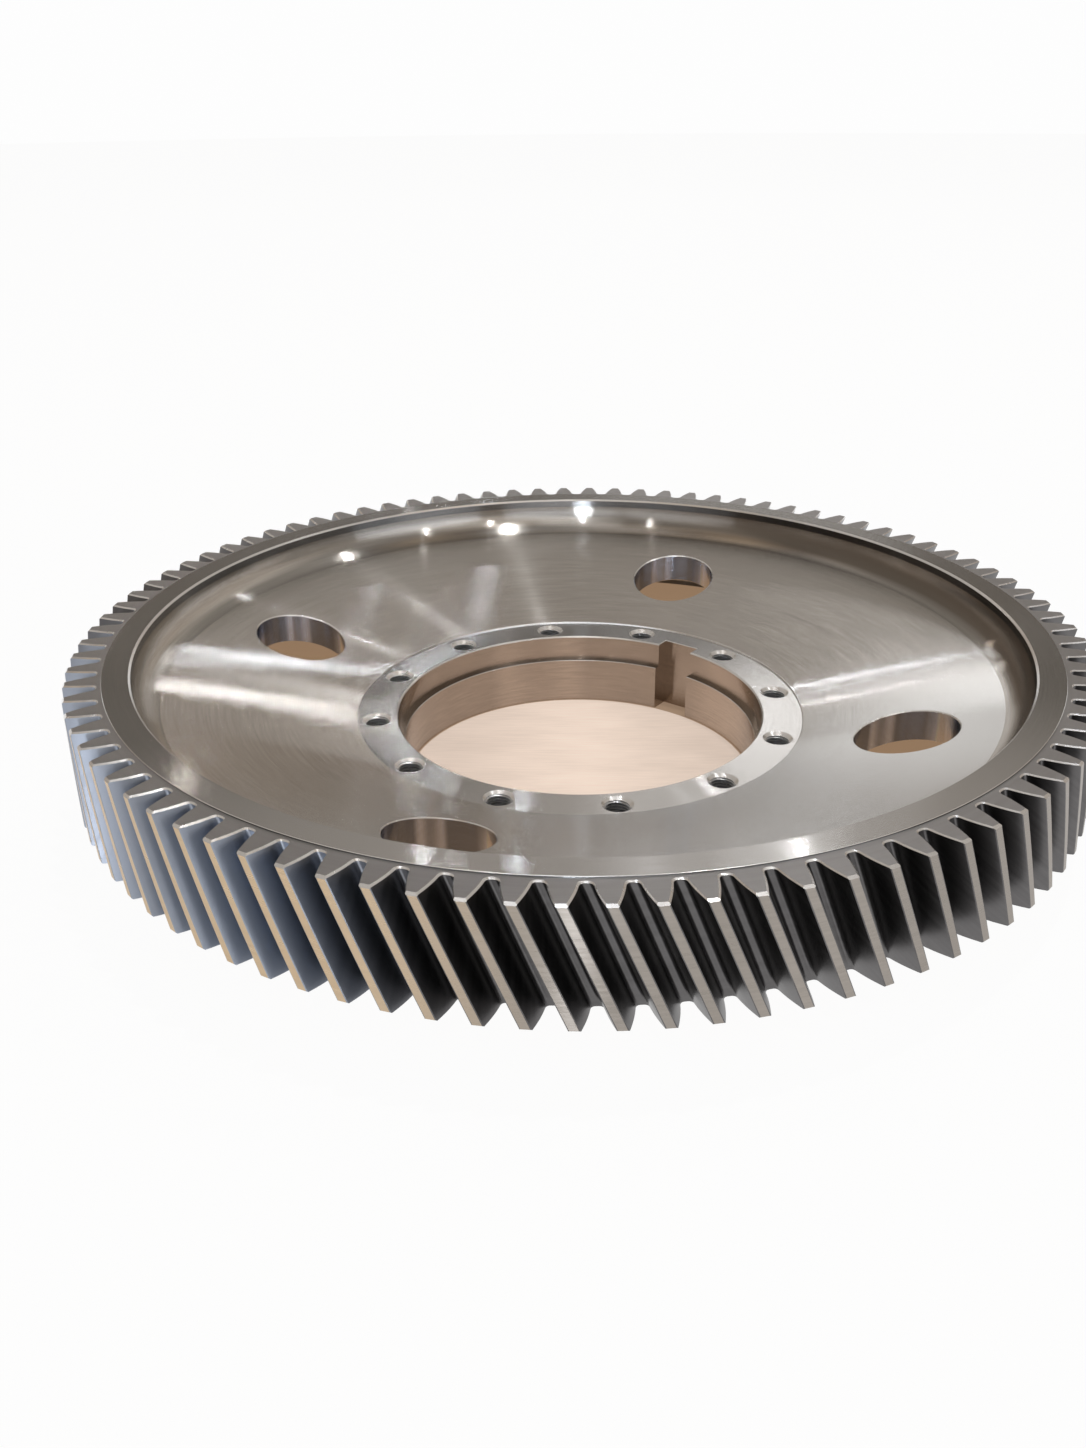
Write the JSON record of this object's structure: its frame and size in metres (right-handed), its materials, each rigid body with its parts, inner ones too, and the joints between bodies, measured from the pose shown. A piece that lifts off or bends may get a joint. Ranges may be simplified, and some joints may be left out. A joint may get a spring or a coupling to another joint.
{
  "type": "helical gear",
  "caption": "Large one-piece helical gear wheel with a dished web, round lightening holes and an offset keyed hub with a ring of tapped holes.",
  "frame": {"origin": "on the gear's axis, in the plane of the hub's underside, which the gear stands on", "axes": "+Z along the gear's axis, from the protruding end of the hub towards the recessed hub face with the tapped holes; +X through the middle of the keyway"},
  "size_m": [0.7974, 0.7974, 0.134],
  "materials": {
    "steel": "turned and ground, bare"
  },
  "bodies": {
    "root": {"gear": "steel"}
  },
  "joints": []
}
